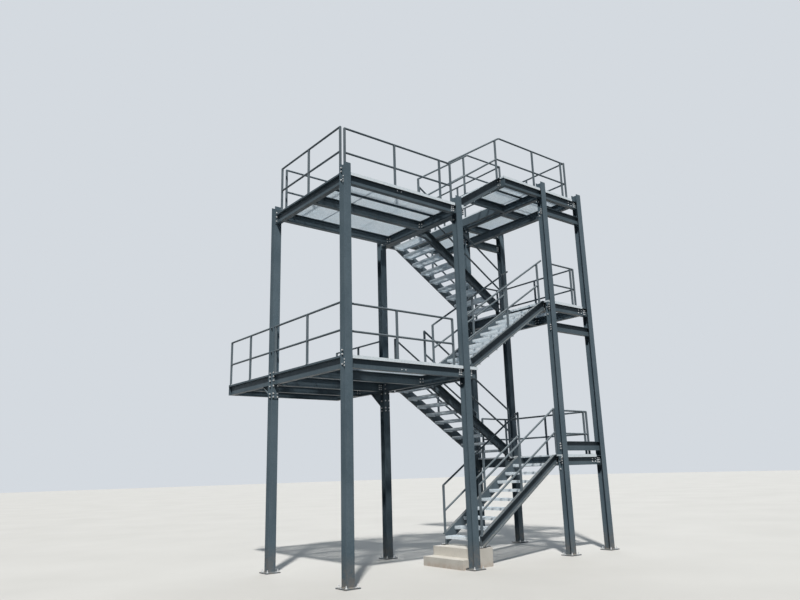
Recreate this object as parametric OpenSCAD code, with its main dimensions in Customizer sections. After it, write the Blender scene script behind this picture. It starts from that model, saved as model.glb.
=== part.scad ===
// Steel fire escape stair: four storeys of galvanised grating between eight H-section columns.
// X runs along the building, Y towards the building, Z up; the floor is z = 0. All sizes in mm.

/* [Columns] */
// distance between the first and second, and the second and third column lines
bay = 2860; // [2700:10:3100]
// distance between the third and fourth column lines
end_bay = 1370; // [1300:10:1500]
// distance between the front and the back row of columns
row_gap = 2700; // [2650:10:2900]
// depth of the column section, across its flanges
col_h = 152; // [140:2:160]
// width of the column flanges
col_b = 160; // [140:2:180]
// side of the square base plates
base_side = 300; // [260:10:340]
// thickness of the base plates
base_t = 20; // [15:1:30]
// height of a column top above the highest deck that it carries
col_over = 170; // [100:10:250]

/* [Decks] */
// height of one riser, the same in every flight
rise = 175; // [165:1:180]
// going of one tread
going = 270; // [260:1:280]
// risers of the four long flights
risers = 10; // [9:1:11]
// thickness of the gratings
grate_t = 30; // [25:1:40]
// depth of the deck beams
beam_h = 200; // [180:5:220]
// width of the deck beam flanges
beam_b = 100; // [90:2:110]
// reach of the decks from the back row to the wall
wall_reach = 2060; // [1800:10:2300]

/* [Flights] */
// clear width between the two stringers of a flight
tread_w = 1000; // [950:10:1020]
// depth of a tread from nosing to back edge
tread_d = 300; // [285:5:320]
// depth of the stringer channel
str_h = 200; // [180:5:220]
// width of the stringer channel flanges
str_b = 75; // [65:1:75]

/* [Guard rails] */
// height of the top rail centre above the deck or the nosing line
rail_top = 980; // [950:10:1100]
// height of the middle rail centre
rail_mid = 465; // [400:5:600]
// diameter of the top rail
rail_d = 42; // [38:1:48]
// diameter of the middle rail
mid_d = 42; // [34:1:48]
// height of the top rail centre above the highest deck
roof_rail = 1030; // [1000:10:1100]
// side of the square posts
post_w = 40; // [35:1:45]

/* [Hidden] */
// thickness of the column web and flanges
col_tw = 6;
col_tf = 9;
// anchor holes of the base plates: diameter and spacing
anchor_d = 22;
anchor_pitch = 220;
// thickness of the deck beam web and flanges
beam_tw = 6;
beam_tf = 9;
// thickness of the stringer web and flanges
str_tw = 8;
str_tf = 11;
// thickness of the end plates
plate_t = 10;
// gap left round a column in a grating, and gap between two grating panels
grate_gap = 8;
joint = 6;
// pitch of the openings that stand for the mesh of a grating, and width of the bars between them
cell_x = 270;
cell_y = 450;
cell_bar = 24;
// width of the flat bars under the guard rail posts, and openings along a tread
rest_w = 50;
tread_cells = 4;
// steps of the starting block
block_steps = 2;
// risers of the short top flight
top_risers = 6;
// column lines
x_a = 0;
x_b = bay;
x_c = 2*bay;
x_d = 2*bay + end_bay;
y_f = 0;
y_r = row_gap;
y_wall = row_gap + wall_reach;
// deck levels, top of the grating
z_block = block_steps*rise;
z_1 = z_block + risers*rise;
z_2 = z_1 + risers*rise;
z_3 = z_2 + risers*rise;
z_4 = z_3 + risers*rise;
z_5 = z_4 + top_risers*rise;
// back beam of the fourth deck, which ends short of the back columns
y_back_4 = row_gap - 300;
// line of the flights: first nosing of the rising-right flights and edge of the right landings
x_edge = x_c - 115;
x_foot = x_edge - (risers - 1)*going;
// the short top flight
x_top = x_c - (top_risers - 1)*going;
x_top_foot = x_top - (top_risers - 1)*going;
// right edge of the right decks and left edge of the roof deck behind its opening
x_right = x_d - 240;
x_hole = x_c - 265;
// lanes: inner faces of the stringer webs
y_front_lane = col_h/2 + str_b;
y_back_lane = row_gap - y_front_lane - tread_w;
// top of the highest tie beams between the right columns
z_tie = z_5 - 450;
// how far a deck edge or a tread reaches over what is below it
over = tread_d - going;
// slope of the flights
slope = atan(rise/going);
tan_s = rise/going;
// how far the top edge of a stringer lies above the nosing line
str_up = 45;
// the same for the short top flight
str_up_5 = 12;
// frame: origin at the middle of the footprint
x_mid = x_d/2;
y_mid = (y_wall - base_side/2)/2;

// sections
module i_shape(h, b, tw, tf) {
  polygon([
    [-b/2, -h/2], [b/2, -h/2], [b/2, -h/2 + tf], [tw/2, -h/2 + tf],
    [tw/2, h/2 - tf], [b/2, h/2 - tf], [b/2, h/2], [-b/2, h/2],
    [-b/2, h/2 - tf], [-tw/2, h/2 - tf], [-tw/2, -h/2 + tf], [-b/2, -h/2 + tf]
  ]);
}

// channel with its web back on y = 0 and its flanges towards +X of the drawing
module c_shape(h, b, tw, tf) {
  polygon([
    [0, 0], [b, 0], [b, tf], [tw, tf], [tw, h - tf], [b, h - tf], [b, h], [0, h]
  ]);
}

// everything is drawn from the first front column and moved to the middle of the footprint
module place() {
  translate([-x_mid, -y_mid, 0]) children();
}

// columns
module column(x, y, top) {
  place() translate([x, y, 0]) {
    difference() {
      translate([-base_side/2, -base_side/2, 0]) cube([base_side, base_side, base_t]);
      for (i = [-1, 1], j = [-1, 1]) translate([i*anchor_pitch/2, j*anchor_pitch/2, -1])
        cylinder(h = base_t + 2, d = anchor_d, $fn = 32);
    }
    translate([0, 0, base_t]) linear_extrude(top - base_t) i_shape(col_h, col_b, col_tw, col_tf);
  }
}

// beams
// beam along X between x1 and x2, top at zt
module beam_x(x1, x2, y, zt) {
  translate([x1, y, zt - beam_h/2]) rotate([90, 0, 90])
    linear_extrude(x2 - x1) i_shape(beam_h, beam_b, beam_tw, beam_tf);
}

// beam along Y between y1 and y2 with an end plate on each end that is asked for
module beam_y(y1, y2, x, zt, p1 = true, p2 = true) {
  translate([x, y2, zt - beam_h/2]) rotate([90, 0, 0])
    linear_extrude(y2 - y1) i_shape(beam_h, beam_b, beam_tw, beam_tf);
  if (p1) translate([x - beam_b/2, y1, zt - beam_h]) cube([beam_b, plate_t, beam_h]);
  if (p2) translate([x - beam_b/2, y2 - plate_t, zt - beam_h]) cube([beam_b, plate_t, beam_h]);
}

// channel along Y with its web back on x and its flanges towards side (1 or -1)
module edge_y(y1, y2, x, zt, side) {
  translate([x, y2, zt - beam_h]) scale([side, 1, 1]) rotate([90, 0, 0])
    linear_extrude(y2 - y1) c_shape(beam_h, str_b, str_tw, str_tf);
}

// channel along X with its web back on y and its flanges towards side
module edge_x(x1, x2, y, zt, side) {
  translate([x1, y, zt - beam_h]) scale([1, side, 1]) rotate([90, 0, 90])
    linear_extrude(x2 - x1) c_shape(beam_h, str_b, str_tw, str_tf);
}

col_face = col_h/2;
web_face = col_tw/2;
tip = beam_b/2;

// left bay: its front and side beams and a middle beam, with the landing edge right of it
module left_frame(z, x_end, y_middle) {
  zt = z - grate_t;
  beam_x(x_a + web_face, x_b - web_face, y_f, zt);
  beam_x(x_b + web_face, x_end, y_f, zt);
  beam_x(x_b + web_face, x_end, y_r, zt);
  beam_y(y_f + col_face, y_r - col_face, x_a, zt);
  beam_y(y_f + col_face, y_r - col_face, x_b, zt);
  beam_x(x_a + tip, x_b - tip, y_middle, zt);
  edge_y(y_f + tip, y_r - tip, x_end, zt, -1);
}

// right bay: beams between the four columns and the landing's end beam
module right_frame(z) {
  zt = z - grate_t;
  beam_x(x_c + web_face, x_d - web_face, y_f, zt);
  beam_x(x_c + web_face, x_d - web_face, y_r, zt);
  beam_y(y_f + col_face, y_r - col_face, x_c, zt);
  beam_y(y_f + tip, y_r - tip, x_right - tip, zt, false, false);
  beam_x(x_c + tip, x_right - 2*tip, row_gap/2, zt);
}

module frame_2() {
  place() {
    left_frame(z_2, x_foot - over, row_gap/2);
    zt = z_2 - grate_t;
    beam_x(x_a + web_face, x_b - web_face, y_r, zt);
    beam_y(y_r + col_face, y_wall - str_b, x_a, zt, true, false);
    beam_y(y_r + col_face, y_wall - str_b, x_b, zt, true, false);
    edge_x(x_a - tip, x_b + tip, y_wall, zt, -1);
    beam_x(x_a + tip, x_b - tip, y_r + wall_reach/2, zt);
  }
}

module frame_4() {
  place() {
    left_frame(z_4, x_top_foot - over, y_back_4/2);
    beam_x(x_a + tip, x_b - tip, y_back_4, z_4 - grate_t);
  }
}

module frame_5() {
  zt = z_5 - grate_t;
  place() {
    right_frame(z_5);
    beam_x(x_top + over, x_c - web_face, y_f, zt);
    edge_x(x_top + over, x_c - tip, y_in, zt, -1);
    edge_y(y_f + tip, y_in - str_b, x_top + over, zt, 1);
    edge_y(y_in, y_r - tip, x_hole, zt, 1);
    beam_x(x_hole, x_c - web_face, y_r, zt);
    edge_y(y_r + tip, y_wall - str_b, x_hole, zt, 1);
    beam_y(y_r + col_face, y_wall - str_b, x_c, zt, true, false);
    beam_y(y_r + tip, y_wall - str_b, x_right - tip, zt, false, false);
    edge_x(x_hole, x_right, y_wall, zt, -1);
  }
}

// tie beam between the two right front columns, top at zt
module tie_x(y, zt) {
  beam_x(x_c + web_face, x_d - web_face, y, zt);
}

module ties_top() {
  place() {
    tie_x(y_f, z_tie);
    tie_x(y_r, z_tie);
    beam_y(y_f + col_face, y_r - col_face, x_c, z_tie - 80);
  }
}

// gratings
// lines of the guard rails: front, inner and back lines of the lanes
y_n = y_front_lane - str_b/2;
y_m = y_front_lane + tread_w + str_b/2;
y_b = y_back_lane + tread_w + str_b/2;
// rails on the left and right deck beams, on the edge of the stair hole and at the wall
x_l = x_a - tip + post_w/2;
x_rr = x_right - post_w/2 - 5;
x_hr = x_hole + 145;
y_w = y_wall - 60;
y_b4 = y_back_4 + 15;
// inner edge of the front lane's stringers
y_in = y_front_lane + tread_w + str_b;

// outline of a grating panel with a plain grid of openings; cols are the axes of the columns that
// pass through it, and an opening that a column would cut stays closed
module panel_outline(x1, x2, y1, y2, cols) {
  nx = max(1, round((x2 - x1)/cell_x));
  ny = max(1, round((y2 - y1)/cell_y));
  dx = (x2 - x1 - cell_bar)/nx;
  dy = (y2 - y1 - cell_bar)/ny;
  cut_x = col_b/2 + grate_gap;
  cut_y = col_h/2 + grate_gap;
  difference() {
    translate([x1, y1]) square([x2 - x1, y2 - y1]);
    for (i = [0:nx - 1], j = [0:ny - 1]) {
      a = x1 + cell_bar + i*dx;
      b = y1 + cell_bar + j*dy;
      w = dx - cell_bar;
      l = dy - cell_bar;
      hits = [for (c = cols) if (a < c[0] + cut_x && a + w > c[0] - cut_x
        && b < c[1] + cut_y && b + l > c[1] - cut_y) 1];
      if (len(hits) == 0) translate([a, b]) square([w, l]);
    }
  }
}

// grating panel with top at z; its children are the flat bars under the posts
module deck_panel(x1, x2, y1, y2, z, cols = []) {
  translate([0, 0, z - grate_t]) linear_extrude(grate_t) difference() {
    union() {
      panel_outline(x1, x2, y1, y2, cols);
      intersection() {
        translate([x1, y1]) square([x2 - x1, y2 - y1]);
        union() children();
      }
    }
    for (c = cols) translate([c[0] - col_b/2 - grate_gap, c[1] - col_h/2 - grate_gap])
      square([col_b + 2*grate_gap, col_h + 2*grate_gap]);
  }
}

// flat bars under a line of posts, along X on the line y, and along Y on the line x
module rest_x(x1, x2, y) {
  translate([x1, y - rest_w/2]) square([x2 - x1, rest_w]);
}

module rest_y(y1, y2, x) {
  translate([x - rest_w/2, y1]) square([rest_w, y2 - y1]);
}

// landing of the right bay between the front and the back row
module right_grating(z) {
  place() deck_panel(x_edge, x_right, y_f - tip, y_r + tip, z, [[x_c, y_f], [x_c, y_r]]) {
    translate([x_edge, y_f - tip]) square([120, row_gap + 2*tip]);
    rest_x(x_edge, x_right, y_n);
    rest_x(x_edge, x_right, y_b);
    rest_y(y_f - tip, y_r + tip, x_rr);
  }
}

module grating_2() {
  cols = [for (x = [x_a, x_b], y = [y_f, y_r]) [x, y]];
  place() {
    deck_panel(x_a - tip, x_foot, y_f - tip, y_r + tip, z_2, cols) {
      translate([x_foot - 120, y_f - tip]) square([120, row_gap + 2*tip]);
      rest_x(x_a, x_foot, y_n);
      rest_y(y_f, y_r + tip, x_l);
    }
    deck_panel(x_a - tip, x_b + tip, y_r + tip + joint, y_wall, z_2) {
      rest_y(y_r, y_wall, x_l);
      rest_y(y_r, y_wall, x_b - 10);
    }
  }
}

module grating_4() {
  place() {
    deck_panel(x_a - tip, x_top_foot, y_f - tip, y_back_4 + tip, z_4, [[x_a, y_f], [x_b, y_f]]) {
      rest_x(x_a, x_top_foot, y_n);
      rest_x(x_b - 120, x_top_foot, y_m);
      rest_x(x_a - tip, x_b + 120, y_b4);
      rest_y(y_f, y_back_4 + tip, x_l);
    }
    deck_panel(x_b - tip, x_top_foot, y_back_4 + tip + joint, y_r + tip, z_4, [[x_b, y_r]]);
  }
}

// roof deck: the end of the top flight, the front of the right bay, and the bridge to the roof
module grating_5() {
  place() {
    deck_panel(x_top, x_hole - joint, y_f - tip, y_in, z_5) {
      rest_x(x_top, x_hole, y_n);
      rest_x(x_top, x_hole, y_m);
    }
    deck_panel(x_hole, x_right, y_f - tip, row_gap/2 - joint/2, z_5, [[x_c, y_f]]) {
      rest_x(x_hole, x_right, y_n);
      rest_y(y_f - tip, row_gap/2, x_rr);
      rest_y(y_m - foot_l/2, row_gap/2, x_hr);
    }
    deck_panel(x_hole, x_right, row_gap/2 + joint/2, y_wall, z_5) {
      rest_y(row_gap/2, y_wall, x_rr);
      rest_y(row_gap/2, y_wall, x_hr);
    }
  }
}

// flights
// a flight is drawn rising towards +X with its first nosing at x = 0 on level z = 0, its treads
// from y = 0 to tread_w; x1 and x2 are the ends of its stringers
str_low = str_h/cos(slope);
str_tfs = str_tf/cos(slope);

function top_line(x, up = str_up) = rise + up + x*tan_s;

// side outline of a stringer of n risers that hangs on deck beams; t is the inset of the flanges,
// and up the height of its top edge above the nosing line
module stringer_outline(n, x1, x2, t, up = str_up) {
  run = (n - 1)*going;
  deck = n*rise;
  ts = t/cos(slope);
  zb = deck - grate_t - beam_h + t;
  xa = x1 < 0 ? 0 : x1;
  polygon([
    [xa - (t > 0 ? 1 : 0), top_line(xa, up) - str_low + ts],
    [run - (top_line(run, up) - str_low + ts - zb)/tan_s, zb],
    [x2 + (t > 0 ? 1 : 0), zb],
    [x2 + (t > 0 ? 1 : 0), deck - grate_t - t],
    [run - t, deck - grate_t - t],
    [run - t, deck - t],
    [run - (top_line(run, up) - ts - deck + t)/tan_s, deck - t],
    [xa - (t > 0 ? 1 : 0), top_line(xa, up) - ts]
  ]);
}

module stringer(n, x1, x2, up = str_up) {
  difference() {
    linear_extrude(str_b) stringer_outline(n, x1, x2, 0, up);
    translate([0, 0, str_tw]) linear_extrude(str_b) stringer_outline(n, x1, x2, str_tf, up);
  }
  // foot plate that hangs on the deck beam
  translate([x1, -grate_t - beam_h, 0]) cube([100 - x1, beam_h, str_tw]);
  translate([0, -grate_t - 1, 0]) cube([100, top_line(0, up) - str_low + 100, str_tw]);
}

// the lowest stringer stands on the starting block with a foot plate
module stringer_foot(n, x1, x2) {
  run = (n - 1)*going;
  difference() {
    linear_extrude(str_b) intersection() {
      stringer_outline(n, x1, x2, 0);
      translate([x1, 0]) square([x2 - x1, n*rise]);
    }
    translate([0, 0, str_tw]) linear_extrude(str_b) intersection() {
      stringer_outline(n, x1 - 400, x2, str_tf);
      translate([x1 - 1, -400]) square([x2 - x1 + 2, n*rise + 400]);
    }
  }
  translate([x1, 0, 0]) cube([150, 10, str_b]);
}

// the same stringer on both sides of a flight
module both_sides() {
  rotate([90, 0, 0]) children();
  translate([0, tread_w, 0]) mirror([0, 1, 0]) rotate([90, 0, 0]) children();
}

// grating tread with a row of openings, a nosing strip and two end plates
module tread() {
  dy = (tread_w - cell_bar)/tread_cells;
  translate([0, 0, -grate_t]) linear_extrude(grate_t) difference() {
    square([tread_d, tread_w]);
    for (j = [0:tread_cells - 1]) translate([34, cell_bar + j*dy]) square([tread_d - 58, dy - cell_bar]);
  }
  for (y = [0, tread_w - 5]) translate([20, y, -70]) cube([tread_d - 40, 5, 70]);
}

module tread_row(n) {
  for (k = [1:n - 1]) translate([(k - 1)*going, 0, k*rise]) tread();
}

// puts a flight in the front lane rising to the right, or in the back lane rising to the left
module front_lane(x, z) {
  place() translate([x, y_front_lane, z]) children();
}

module back_lane(x, z) {
  place() translate([x, y_back_lane, z]) mirror([1, 0, 0]) children();
}

// distance from the edge nosing of a right landing to its beam
head_long = (x_c - tip) - x_edge;
run_long = (risers - 1)*going;
run_top = (top_risers - 1)*going;

module stringers_1() {
  front_lane(x_foot, z_block) both_sides() stringer_foot(risers, -60, run_long + head_long);
}

module stringers_2() {
  back_lane(x_edge, z_1) both_sides() stringer(risers, -head_long, run_long + over);
}

module stringers_3() {
  front_lane(x_foot, z_2) both_sides() stringer(risers, -over, run_long + head_long);
}

module stringers_4() {
  back_lane(x_edge, z_3) both_sides() stringer(risers, -head_long, run_long + x_foot - x_top_foot + over);
}

module stringers_5() {
  front_lane(x_top_foot, z_4) both_sides() stringer(top_risers, -over, run_top + over, str_up_5);
}

// guard rails
module bar(a, b, d) {
  v = [b[0] - a[0], b[1] - a[1], b[2] - a[2]];
  translate(a) rotate([0, acos(v[2]/norm(v)), atan2(v[1], v[0])]) cylinder(h = norm(v), d = d, $fn = 32);
}

module run_bars(pts, d) {
  for (i = [0:len(pts) - 2]) bar(pts[i], pts[i + 1], d);
  for (p = pts) translate(p) sphere(d = d + 3, $fn = 32);
}

// straight guard rail panel of the given length along +X from the origin, posts at the distances ps
module panel(length, ps, top) {
  for (h = [[top, rail_d], [rail_mid, mid_d]]) run_bars([[0, 0, h[0]], [length, 0, h[0]]], h[1]);
  for (p = ps) {
    translate([p - post_w/2, -post_w/2, 0]) cube([post_w, post_w, top]);
    translate([p - foot_l/2, -post_w/2, 0]) cube([foot_l, post_w, 8]);
  }
}

// panels along X and Y between two places, with posts at the places ps
module panel_x(x1, x2, y, z, ps, top = rail_top) {
  translate([x1, y, z]) panel(x2 - x1, [for (p = ps) p - x1], top);
}

module panel_y(y1, y2, x, z, ps, top = rail_top) {
  translate([x, y1, z]) rotate([0, 0, 90]) panel(y2 - y1, [for (p = ps) p - y1], top);
}

// length of a post's foot plate, and first posts of two panels that meet behind a column
foot_l = 60;
y_first = col_face + foot_l/2 + 6;
x_first = x_a + 70;
// distance between the posts of two panels that meet at an open corner
corner = 75;
// right end of the fourth deck's front rail, and how far the top flight's rails pass its last riser
x_4 = x_top_foot - 250;
rail_past = 50;

module landing_rail(z) {
  x1 = x_edge + 260;
  x2 = x_rr - corner;
  place() {
    panel_x(x1, x2, y_n, z, [x1, x2]);
    panel_y(y_n, y_b, x_rr, z, [y_n, row_gap/2, y_b]);
    panel_x(x1, x2, y_b, z, [x1, x2]);
  }
}

module rails_deck_2() {
  x2 = x_b - 180;
  y1 = y_r + 130;
  y2 = y_r + wall_reach/2;
  place() {
    panel_x(x_first, x2, y_n, z_2, [x_first, x_b/2 - 190, x2]);
    panel_y(y_first, y_w, x_l, z_2, [y_first, row_gap/2 - 50, y_r - 130, y2, y_w]);
    panel_y(y1, y_w, x_b - 10, z_2, [y1, y2, y_w]);
  }
}

module rails_deck_4() {
  x1 = x_l + corner + 35;
  x2 = x_top_foot - 70;
  y2 = y_b4 - 5;
  place() {
    panel_x(x_first, x_4, y_n, z_4, [x_first, x_b/2 - 140, x_b - 350]);
    panel_y(y_first, y2, x_l, z_4, [y_first, row_gap/2 - 60, y2]);
    panel_x(x1, x2, y_b4, z_4, [x1, x_b/2 + 70, x2]);
  }
}

module rails_deck_5() {
  x1 = x_top + rail_past + rail_d + 5;
  x2 = x_rr - corner;
  y1 = y_n - 25;
  y2 = y_r + wall_reach/2 + 40;
  place() {
    panel_x(x1, x2, y_n, z_5, [x_c - 100, x2], roof_rail);
    panel_y(y1, y_w, x_rr, z_5, [y1, row_gap/2, y_r + 130, y2, y_w], roof_rail);
    panel_x(x1, x_hr, y_m, z_5, [x_hr], roof_rail);
    panel_y(y_m, y_w, x_hr, z_5, [y_r + col_h/2 + 10, y2, y_w], roof_rail);
  }
}

// sloping rail of a flight of n risers in its own frame, on the line y, from x1 to x2 with posts
// at the places ps, on stringers with their top edge up above the nosing line
module flight_rail(n, y, x1, x2, ps, up) {
  run = (n - 1)*going;
  function line(x) = rise + x*tan_s;
  run_bars([[x1, y, line(x1) + rail_top], [x2, y, line(x2) + rail_top]], rail_d);
  run_bars([[x1, y, line(x1) + rail_mid], [x2, y, line(x2) + rail_mid]], mid_d);
  for (x = ps) difference() {
    translate([x - post_w/2, y - post_w/2, 0]) cube([post_w, post_w, line(x) + rail_top]);
    if (x > 0 && x < run) translate([0, y + post_w, 0]) rotate([90, 0, 0]) linear_extrude(2*post_w) polygon([
      [x - 50, -50], [x + 50, -50], [x + 50, top_line(x + 50, up)], [x - 50, top_line(x - 50, up)]
    ]);
    if (x > run) translate([x - 50, y - 50, -50]) cube([100, 100, n*rise + 50]);
  }
}

module flight_rails(n, x1, x2, ps, up = str_up) {
  for (y = [-str_b/2, tread_w + str_b/2]) flight_rail(n, y, x1, x2, ps, up);
}

module rails_long(x1, x2) {
  flight_rails(risers, x1, x2, [x1, (x1 + x2)/2, x2]);
}

module rails_flight_1() {
  front_lane(x_foot, z_block) rails_long(35, run_long + 45);
}

module rails_flight_2() {
  back_lane(x_edge, z_1) rails_long(-80, run_long + 60);
}

module rails_flight_3() {
  front_lane(x_foot, z_2) rails_long(-90, run_long + 20);
}

module rails_flight_4() {
  back_lane(x_edge, z_3) rails_long(-80, run_long + 60);
}

module rails_flight_5() {
  front_lane(x_top_foot, z_4)
    flight_rails(top_risers, -200, run_top + rail_past, [-200, run_top - 60], str_up_5);
}

// starting block
module start_block() {
  y1 = y_front_lane - str_b;
  w = tread_w + 2*str_b;
  place() difference() {
    translate([x_foot - going*block_steps, y1, 0]) cube([going*block_steps + 260, w, z_block]);
    translate([x_foot - going*block_steps - 1, y1 - 1, rise]) cube([going + 1, w + 2, z_block]);
    // clearance round the base plate of the second column
    translate([x_b - base_side/2 - 8, y_f - base_side/2 - 8, -1])
      cube([base_side + 16, base_side + 16, base_t + 21]);
  }
}

color("#3f474e") column(x_a, y_f, z_4 + col_over);  // column_a
color("#3f474e") column(x_b, y_f, z_4 + col_over);  // column_b
color("#3f474e") column(x_c, y_f, z_5 + col_over);  // column_c
color("#3f474e") column(x_d, y_f, z_5 + col_over);  // column_d
color("#3f474e") column(x_a, y_r, z_4 + col_over);  // column_e
color("#3f474e") column(x_b, y_r, z_4 + col_over);  // column_f
color("#3f474e") column(x_d, y_r, z_5 + col_over);  // column_g
color("#3f474e") column(x_c, y_r, z_5 - grate_t);  // column_h
color("#454e55") place() right_frame(z_1);  // frame_1
color("#454e55") frame_2();
color("#454e55") place() right_frame(z_3);  // frame_3
color("#454e55") frame_4();
color("#454e55") frame_5();
color("#b9bfc2") right_grating(z_1);  // grating_1
color("#b9bfc2") grating_2();
color("#b9bfc2") right_grating(z_3);  // grating_3
color("#b9bfc2") grating_4();
color("#b9bfc2") grating_5();
color("#454e55") place() tie_x(y_f, z_1 + 285);  // tie_low
color("#454e55") place() tie_x(y_f, z_3 - 515);  // tie_mid
color("#454e55") ties_top();
color("#4b545b") stringers_1();
color("#4b545b") stringers_2();
color("#4b545b") stringers_3();
color("#4b545b") stringers_4();
color("#4b545b") stringers_5();
color("#c3c8ca") front_lane(x_foot, z_block) tread_row(risers);  // treads_1
color("#c3c8ca") back_lane(x_edge, z_1) tread_row(risers);  // treads_2
color("#c3c8ca") front_lane(x_foot, z_2) tread_row(risers);  // treads_3
color("#c3c8ca") back_lane(x_edge, z_3) tread_row(risers);  // treads_4
color("#c3c8ca") front_lane(x_top_foot, z_4) tread_row(top_risers);  // treads_5
color("#5a646b") landing_rail(z_1);  // rails_deck_1
color("#5a646b") rails_deck_2();
color("#5a646b") landing_rail(z_3);  // rails_deck_3
color("#5a646b") rails_deck_4();
color("#5a646b") rails_deck_5();
color("#5a646b") rails_flight_1();
color("#5a646b") rails_flight_2();
color("#5a646b") rails_flight_3();
color("#5a646b") rails_flight_4();
color("#5a646b") rails_flight_5();
color("#c9c4ba") start_block();
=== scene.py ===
"""Visual model of the fire escape stair: galvanised bar gratings, bolted joints, tube rails and
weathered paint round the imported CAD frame. Lengths in the code are millimetres from the axis of
the first front column unless a name says otherwise; m() turns them into the frame's metres."""
import bpy
import math
from mathutils import Matrix, Vector


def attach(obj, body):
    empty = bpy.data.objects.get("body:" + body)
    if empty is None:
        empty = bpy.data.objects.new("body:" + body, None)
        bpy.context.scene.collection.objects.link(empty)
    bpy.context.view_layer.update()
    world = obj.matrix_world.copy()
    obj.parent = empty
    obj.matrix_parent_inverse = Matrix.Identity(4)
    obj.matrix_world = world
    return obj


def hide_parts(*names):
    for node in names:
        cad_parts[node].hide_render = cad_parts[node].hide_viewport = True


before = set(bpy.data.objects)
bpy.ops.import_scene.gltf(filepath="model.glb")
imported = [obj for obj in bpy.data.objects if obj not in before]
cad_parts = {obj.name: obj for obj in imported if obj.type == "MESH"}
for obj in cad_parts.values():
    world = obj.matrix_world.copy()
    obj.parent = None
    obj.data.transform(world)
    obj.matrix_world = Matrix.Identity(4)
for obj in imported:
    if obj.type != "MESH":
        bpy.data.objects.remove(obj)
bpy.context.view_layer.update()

# Sizes of the CAD source, mm
X_MID, Y_MID = 3545.0, 2305.0
BAY, END_BAY, ROW, REACH = 2860.0, 1370.0, 2700.0, 2060.0
X_A, X_B, X_C, X_D = 0.0, BAY, 2*BAY, 2*BAY + END_BAY
Y_F, Y_R, Y_WALL = 0.0, ROW, ROW + REACH
COL_H, COL_B, COL_TW, COL_TF = 152.0, 160.0, 6.0, 9.0   # depth along Y, width along X, web and flange
COL_FACE = COL_H/2
BASE_T, ANCHOR = 20.0, 220.0            # base plates, and the distance between their anchors
RISE, GOING, RISERS, TOP_RISERS = 175.0, 270.0, 10, 6
TAN = RISE/GOING
RUN, RUN_5 = (RISERS - 1)*GOING, (TOP_RISERS - 1)*GOING
GRATE_T, BEAM_H, BEAM_B = 30.0, 200.0, 100.0
TIP, WEB = BEAM_B/2, 3.0                # half of a beam's flange and half of its web
TREAD_W, TREAD_D, STR_B, STR_TW = 1000.0, 300.0, 75.0, 8.0
OVER = TREAD_D - GOING
RAIL_TOP, RAIL_MID, RAIL_D, MID_D, POST = 980.0, 465.0, 42.0, 42.0, 40.0
ROOF_RAIL, RAIL_PAST = 1030.0, 50.0     # deck 5's top rail, and how far flight 5's rails run onto the deck
Z_0 = 2*RISE
Z_1 = Z_0 + RISERS*RISE
Z_2 = Z_1 + RISERS*RISE
Z_3 = Z_2 + RISERS*RISE
Z_4 = Z_3 + RISERS*RISE
Z_5 = Z_4 + TOP_RISERS*RISE
Z_TIE = Z_5 - 450
TIE_TOPS, TIE_Y_TOP = (Z_1 + 285, Z_3 - 515, Z_TIE), Z_TIE - 80     # tops of the ties along X and along Y
X_EDGE = X_C - 115
X_FOOT = X_EDGE - RUN
X_TOP = 4370.0
X_TOP_FOOT = X_TOP - RUN_5
X_RIGHT = X_D - 240
X_HOLE = X_C - 265
Y_FRONT_LANE = COL_H/2 + STR_B
Y_BACK_LANE = ROW - Y_FRONT_LANE - TREAD_W
Y_BACK_4 = ROW - 300
Y_IN = Y_FRONT_LANE + TREAD_W + STR_B
STR_UP, STR_UP_5 = 45.0, 12.0           # stringers' top edges above the nosing line, flights 1 to 4 and 5
COLUMNS = {"a": (X_A, Y_F), "b": (X_B, Y_F), "c": (X_C, Y_F), "d": (X_D, Y_F),
           "e": (X_A, Y_R), "f": (X_B, Y_R), "g": (X_D, Y_R), "h": (X_C, Y_R)}

# Sizes of the details, mm
BAR_T, BAR_PITCH = 3.0, 34.0            # bearing bars of the gratings
ROD_W, ROD_H, ROD_SUNK, ROD_PITCH = 5.0, 6.0, 0.5, 38.0
BAND = 4.0                              # banding flats, and half the gap between two panels
SHORTEST = 12                           # a stretch beside a hole that is shorter gets no bar or rod
COL_GAP = COL_B/2 + 8                   # from a column's axis to the grating's cut round it
CLIP_X, CLIP_Y, CLIP_T = 24.0, 14.0, 3.0
CLIP_END, CLIP_SIDE, CLIP_OFF = 60, 45, 25.0    # clips from the ends, and from the joints along X and Y
TREAD_BAR_1, TREAD_ROD_1 = 46.0, 24.0   # the first bar from the nosing, and the first rod from the stringer
TREAD_PITCH, TREAD_PLATE_T, TREAD_PLATE_H, TREAD_PLATE_IN = 30.5, 5.0, 70.0, 8
TREAD_BOLTS, TREAD_BOLT_Z = (60.0, 235.0), -50
NOSE_T, NOSE_H, NOSE_D = 4.0, 52.0, 34.0
RIB_ROWS, RIB_IN = (8.0, 16.0, 24.0), 12.0      # raised ribs on the nosing, from its front edge and ends
RIB_W, RIB_L, RIB_H, RIB_PITCH = 4.0, 10.0, 1.6, 22.0
POST_EDGE, POST_SUNK = 5.0, 18.0        # rounding of a post's edges, and its lap on a stringer
LEVEL_FROM = RUN_5 - 40                 # where the middle rails of flight 5 bend level
FOOT_L, FOOT_T, FOOT_BOLT = 42.0, 8.0, 32.0
COLLAR_R = POST/2 + 2.5
WELD = 9                                # leg of the fillet weld at a column's foot
PLATE_W, PLATE_T, GAUGE = 140.0, 12.0, 48.0
HAUNCH_T, HAUNCH_B, HAUNCH_WEB = 9.0, 90, 8
FIN_L, FIN_T, FIN_IN = 190, 10, 26      # fin plates, and how far they stay from the beam's top and bottom
FIN_COLS, FIN_ROWS = (112.0, 162.0), (-52, -100, -148)
CAP_B, CAP_T = 124, 10                  # end plates of the beams along X
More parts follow.
